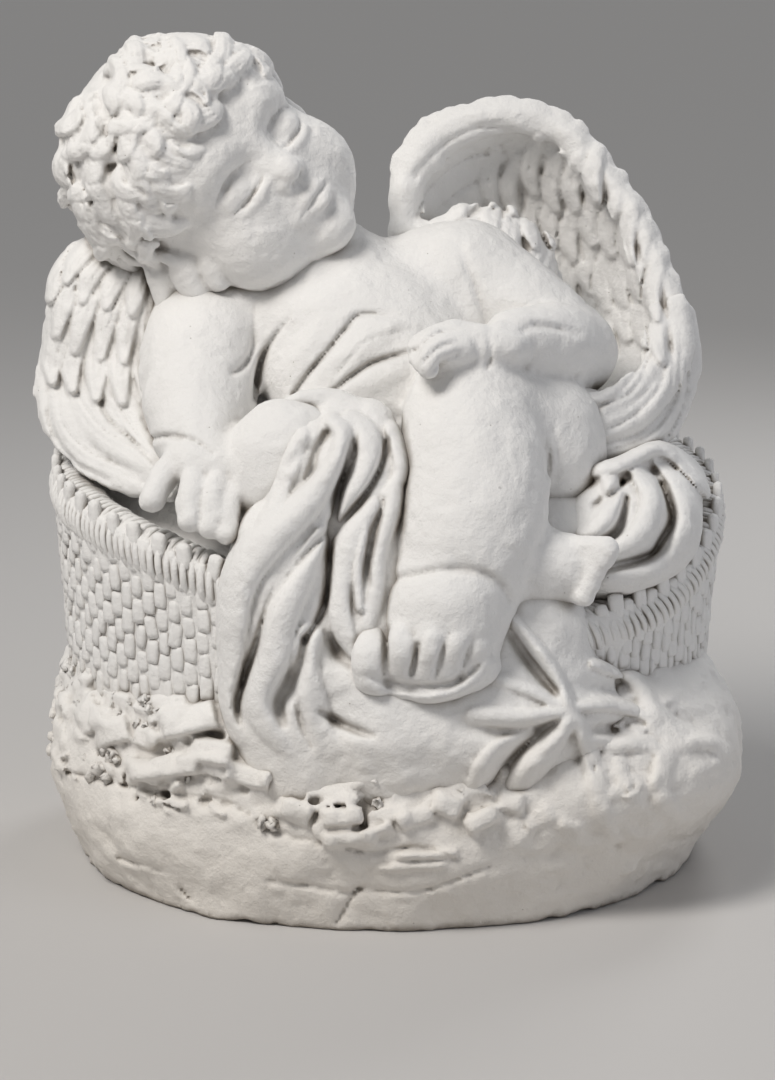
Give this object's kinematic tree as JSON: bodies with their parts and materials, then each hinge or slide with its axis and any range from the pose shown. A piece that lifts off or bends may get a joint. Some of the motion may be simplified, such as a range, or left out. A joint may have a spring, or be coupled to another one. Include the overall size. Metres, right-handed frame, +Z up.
{
  "type": "sleeping angel statue",
  "caption": "Table or garden statue of a winged child asleep in an oval wicker basket on a rocky base, cast in one piece.",
  "frame": {"origin": "middle of the flat underside", "axes": "+Z up, the child and its face look towards -Y, and the top of its head leans towards -X"},
  "size_m": [0.3563, 0.3196, 0.4126],
  "materials": {
    "plaster": "matt white-painted plaster with grey dirt in the creases"
  },
  "bodies": {
    "root": {"sleeping_angel": "plaster"}
  },
  "joints": []
}
